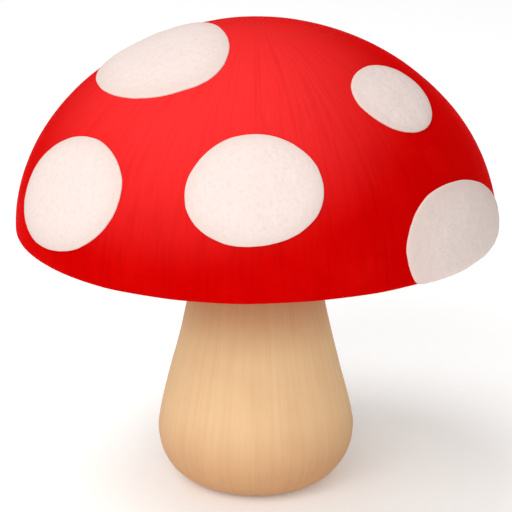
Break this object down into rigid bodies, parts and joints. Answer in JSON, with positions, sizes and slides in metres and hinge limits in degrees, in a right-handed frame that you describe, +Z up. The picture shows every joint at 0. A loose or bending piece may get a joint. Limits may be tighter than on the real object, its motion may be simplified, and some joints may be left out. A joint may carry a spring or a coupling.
{
  "type": "fly agaric mushroom",
  "caption": "Whole picked fly agaric mushroom: domed red cap with raised pale oval patches, free gills underneath and a stout tan stem that stands on its rounded bulb.",
  "frame": {"origin": "middle of the flattened foot of the bulb, on the surface the mushroom stands on", "axes": "+Z up along the stem, the front of the mushroom faces -Y, +X to the right seen from the front"},
  "size_m": [0.1008, 0.1001, 0.0994],
  "materials": {
    "cap_skin": "satin",
    "stem_flesh": "matte",
    "gill_tissue": "matte",
    "veil_felt": "matte"
  },
  "bodies": {
    "root": {"stem": "stem_flesh", "cap": "cap_skin", "gills": "gill_tissue", "patch_front": "veil_felt", "patch_left": "veil_felt", "patch_upper_left": "veil_felt", "patch_upper_right": "veil_felt", "patch_right_margin": "veil_felt", "patch_back_right": "veil_felt", "patch_back_right_margin": "veil_felt", "patch_back_middle": "veil_felt", "patch_back_left": "veil_felt", "patch_back_left_margin": "veil_felt", "patch_back_upper": "veil_felt"}
  },
  "joints": []
}
